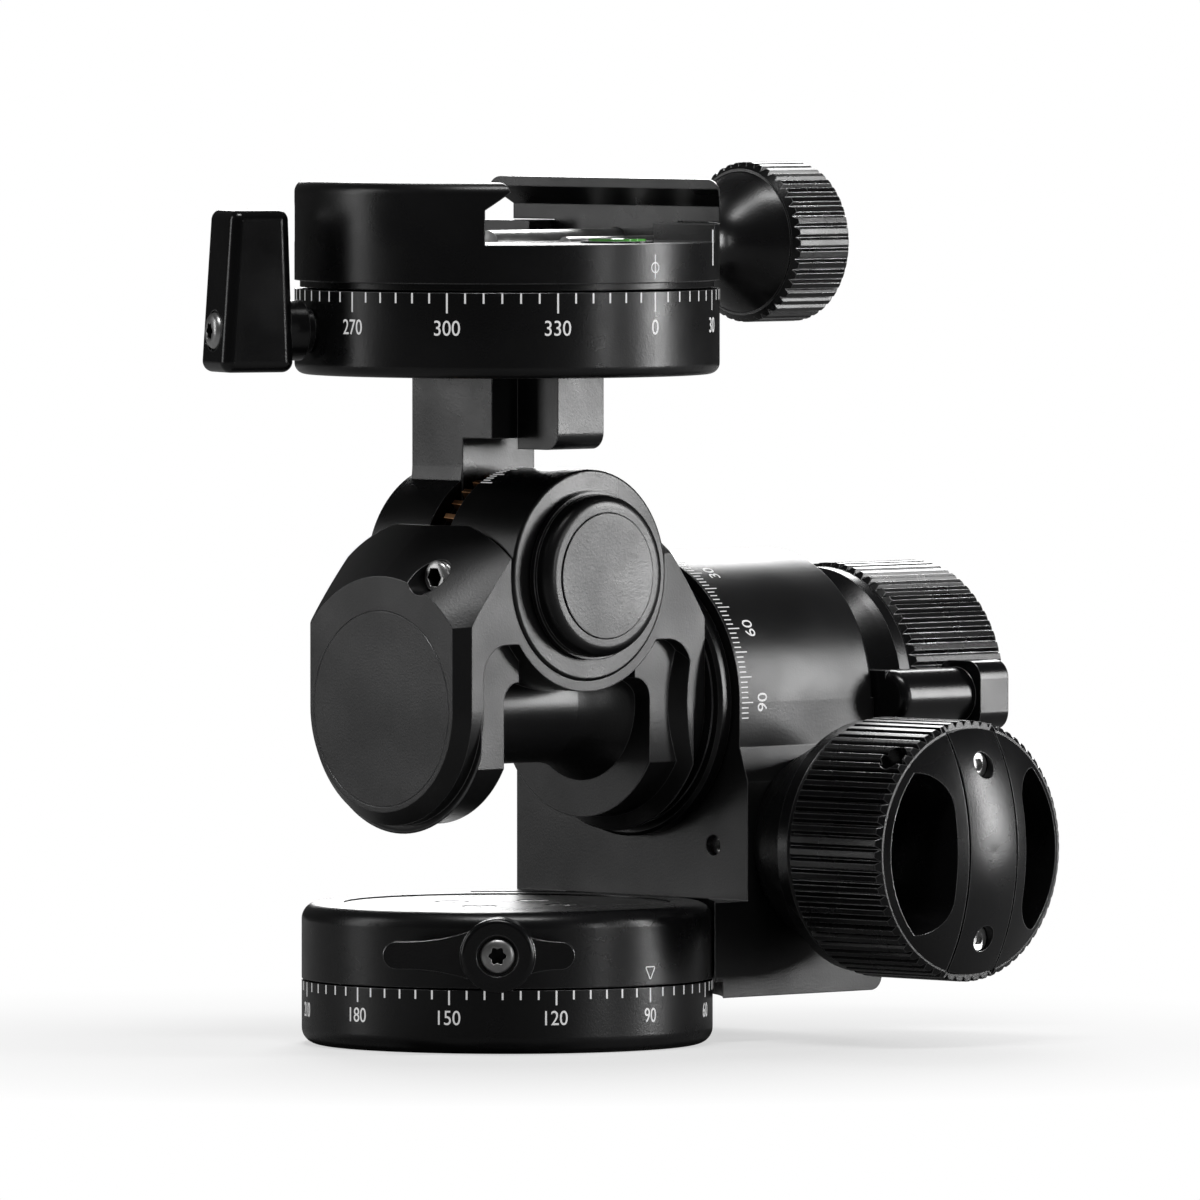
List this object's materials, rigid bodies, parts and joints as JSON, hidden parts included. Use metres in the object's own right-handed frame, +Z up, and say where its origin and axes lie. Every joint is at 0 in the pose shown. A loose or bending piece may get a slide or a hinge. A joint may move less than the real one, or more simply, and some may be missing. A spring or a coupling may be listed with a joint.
{
  "type": "geared tripod head",
  "caption": "Cube-style geared camera head: panning base, worm-driven tilt and roll with ribbed knobs, and a panning dovetail clamp on top.",
  "frame": {"origin": "centre of the base's underside, at the mouth of the tripod thread", "axes": "+Z up along the panning axis, +X along the roll axis, +Y along the tilt axis towards the side frame and the rear knob"},
  "size_m": [0.0906, 0.1334, 0.128],
  "materials": {
    "black_anodised": "black anodised, bead blasted, satin",
    "black_knobs": "black anodised, fine ribs, satin",
    "black_levers": "black anodised, smooth satin",
    "stainless": "bright stainless",
    "worm_steel": "ground and polished",
    "gear_bronze": "cut bronze teeth",
    "bush_bronze": "turned, plain",
    "nylon": "plain, matte",
    "green_vial": "clear yellow-green, polished",
    "bezel": "matt black ring",
    "white_ink": "white filled engraving"
  },
  "bodies": {
    "base": {"dial_base": "black_anodised", "mount_bush": "stainless", "pan_washer": "nylon", "pan_retainer": "black_anodised", "retainer_screws": "stainless"},
    "pan": {"turntable": "black_anodised", "turntable_cover": "black_anodised", "cover_screws": "stainless", "pan_brake_pad": "nylon", "frame": "black_anodised", "frame_screws": "stainless", "bush_set_screw": "stainless", "tilt_shaft_bushes": "bush_bronze", "rear_cover": "black_anodised", "rear_screws": "stainless", "tilt_worm_bushes": "bush_bronze", "worm_end_plug": "black_anodised"},
    "pan_lock": {"pan_lock_stem": "stainless", "pan_wing_lever": "black_levers", "pan_lever_screw": "stainless"},
    "tilt_lock": {"tilt_lock_lever": "black_levers"},
    "tilt_drive": {"tilt_worm": "worm_steel", "tilt_knob": "black_knobs", "tilt_knob_strap": "black_knobs", "tilt_strap_screws": "stainless"},
    "tilt": {"tilt_rotor": "black_anodised", "rotor_screws": "stainless", "tilt_nut": "black_anodised", "tilt_wheel": "gear_bronze", "bridge": "black_anodised", "front_cap": "black_anodised", "lash_screw": "stainless", "roll_worm_bushes": "bush_bronze", "roll_barrel": "black_anodised", "roll_axle_bush": "bush_bronze"},
    "roll_drive": {"roll_worm": "worm_steel", "roll_knob": "black_knobs", "roll_knob_strap": "black_knobs", "roll_strap_screws": "stainless"},
    "roll": {"roll_axle": "worm_steel", "roll_wheel": "gear_bronze", "axle_boss": "black_anodised", "axle_cap": "black_anodised", "arm": "black_anodised", "arm_screws": "stainless", "dial_floor": "black_anodised", "top_dial": "black_anodised", "top_brake_pad": "nylon"},
    "top_lock": {"top_lock_stem": "stainless", "top_lock_lever": "black_levers", "top_lever_screw": "stainless"},
    "clamp": {"clamp_body": "black_anodised", "top_retainer": "black_anodised", "top_washer": "nylon", "level_vial": "green_vial", "level_bezel": "bezel"},
    "jaw": {"clamp_jaw": "black_anodised", "guide_pins": "stainless"},
    "clamp_knob_turning": {"clamp_screw": "stainless", "clamp_knob": "black_knobs"}
  },
  "joints": [
    {"name": "pan", "type": "hinge", "parent": "base", "child": "pan", "pos_m": [0, 0, 0.0093], "axis": [0, 0, 1], "continuous": true},
    {"name": "pan_lock_turn", "type": "hinge", "parent": "pan", "child": "pan_lock", "pos_m": [0.02084, -0.02158, 0.0146], "axis": [0.6947, -0.7193, 0], "range_deg": [-35, 35]},
    {"name": "tilt_lock_turn", "type": "hinge", "parent": "pan", "child": "tilt_lock", "pos_m": [0, 0.058, 0.0495], "axis": [0, 1, 0], "range_deg": [-10, 25]},
    {"name": "tilt", "type": "hinge", "parent": "pan", "child": "tilt", "pos_m": [0, 0.04, 0.0495], "axis": [0, 1, 0], "range_deg": [-90, 45]},
    {"name": "tilt_drive_turn", "type": "hinge", "parent": "pan", "child": "tilt_drive", "pos_m": [0.04, 0.041, 0.0285], "axis": [1, 0, 0], "range_deg": [-3640, 1840]},
    {"name": "roll", "type": "hinge", "parent": "tilt", "child": "roll", "pos_m": [0.01, 0, 0.0687], "axis": [1, 0, 0], "range_deg": [-25, 25]},
    {"name": "roll_drive_turn", "type": "hinge", "parent": "tilt", "child": "roll_drive", "pos_m": [0, 0.06, 0.0495], "axis": [0, 1, 0], "range_deg": [-920, 920]},
    {"name": "top_lock_turn", "type": "hinge", "parent": "roll", "child": "top_lock", "pos_m": [-0.01311, -0.03245, 0.1043], "axis": [-0.3746, -0.9272, 0], "range_deg": [-45, 45]},
    {"name": "pan_top", "type": "hinge", "parent": "roll", "child": "clamp", "pos_m": [0, 0, 0.11], "axis": [0, 0, 1], "range_deg": [-160, 120]},
    {"name": "jaw_slide", "type": "slide", "parent": "clamp", "child": "jaw", "axis": [0, 1, 0], "range_m": [-0.004, 0.002]},
    {"name": "clamp_knob_turn", "type": "hinge", "parent": "jaw", "child": "clamp_knob_turning", "pos_m": [0, 0.05, 0.1162], "axis": [0, 1, 0], "range_deg": [-1160, 585]}
  ],
  "couplings": [
    {"joint": "tilt_drive_turn", "follows": "tilt", "ratio": 40},
    {"joint": "roll_drive_turn", "follows": "roll", "ratio": -36},
    {"joint": "clamp_knob_turn", "follows": "jaw_slide", "rad_per_m": 5026.5}
  ]
}
